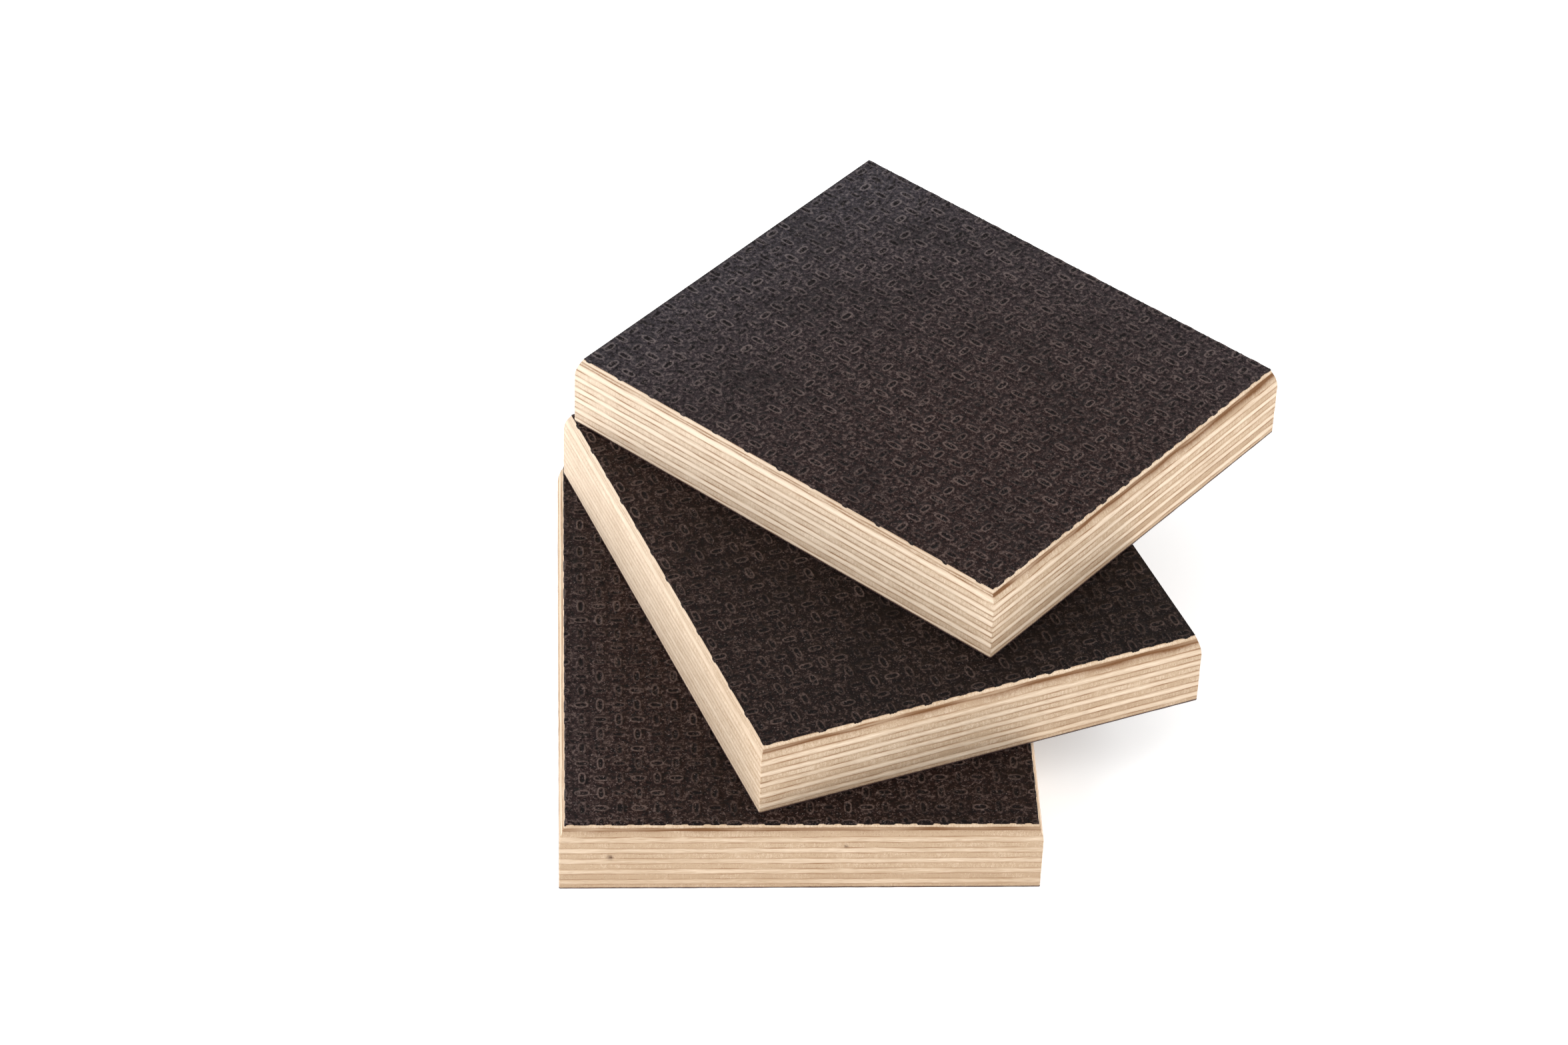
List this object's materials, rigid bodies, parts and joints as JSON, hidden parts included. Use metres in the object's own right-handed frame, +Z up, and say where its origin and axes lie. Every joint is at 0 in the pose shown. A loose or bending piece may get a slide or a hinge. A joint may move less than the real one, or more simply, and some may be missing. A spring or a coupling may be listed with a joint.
{
  "type": "stack of plywood sheets",
  "caption": "Fanned stack of cut film-faced birch plywood sheets with an embossed anti-slip upper face and bare cross-laminated edges.",
  "frame": {"origin": "middle of the stack's bounding box in plan, on the floor under the lower sheet", "axes": "+Z up through the stack, +X along the front edge of the lower sheet to the right, +Y to the back along the lower sheet's face grain"},
  "size_m": [0.1592, 0.1864, 0.054],
  "materials": {
    "long_grain_veneer": "sawn, unfinished",
    "cross_grain_veneer": "sawn, unfinished",
    "anti_slip_film": "embossed, satin",
    "smooth_film": "smooth, satin"
  },
  "bodies": {
    "root": {"lower_sheet_bottom_film": "smooth_film", "lower_sheet_ply_13": "long_grain_veneer", "lower_sheet_ply_12": "cross_grain_veneer", "lower_sheet_ply_11": "long_grain_veneer", "lower_sheet_ply_10": "cross_grain_veneer", "lower_sheet_ply_09": "long_grain_veneer", "lower_sheet_ply_08": "cross_grain_veneer", "lower_sheet_ply_07": "long_grain_veneer", "lower_sheet_ply_06": "cross_grain_veneer", "lower_sheet_ply_05": "long_grain_veneer", "lower_sheet_ply_04": "cross_grain_veneer", "lower_sheet_ply_03": "long_grain_veneer", "lower_sheet_ply_02": "cross_grain_veneer", "lower_sheet_ply_01": "long_grain_veneer", "lower_sheet_top_film": "anti_slip_film", "middle_sheet_bottom_film": "smooth_film", "middle_sheet_ply_13": "long_grain_veneer", "middle_sheet_ply_12": "cross_grain_veneer", "middle_sheet_ply_11": "long_grain_veneer", "middle_sheet_ply_10": "cross_grain_veneer", "middle_sheet_ply_09": "long_grain_veneer", "middle_sheet_ply_08": "cross_grain_veneer", "middle_sheet_ply_07": "long_grain_veneer", "middle_sheet_ply_06": "cross_grain_veneer", "middle_sheet_ply_05": "long_grain_veneer", "middle_sheet_ply_04": "cross_grain_veneer", "middle_sheet_ply_03": "long_grain_veneer", "middle_sheet_ply_02": "cross_grain_veneer", "middle_sheet_ply_01": "long_grain_veneer", "middle_sheet_top_film": "anti_slip_film", "upper_sheet_bottom_film": "smooth_film", "upper_sheet_ply_13": "long_grain_veneer", "upper_sheet_ply_12": "cross_grain_veneer", "upper_sheet_ply_11": "long_grain_veneer", "upper_sheet_ply_10": "cross_grain_veneer", "upper_sheet_ply_09": "long_grain_veneer", "upper_sheet_ply_08": "cross_grain_veneer", "upper_sheet_ply_07": "long_grain_veneer", "upper_sheet_ply_06": "cross_grain_veneer", "upper_sheet_ply_05": "long_grain_veneer", "upper_sheet_ply_04": "cross_grain_veneer", "upper_sheet_ply_03": "long_grain_veneer", "upper_sheet_ply_02": "cross_grain_veneer", "upper_sheet_ply_01": "long_grain_veneer", "upper_sheet_top_film": "anti_slip_film"}
  },
  "joints": []
}
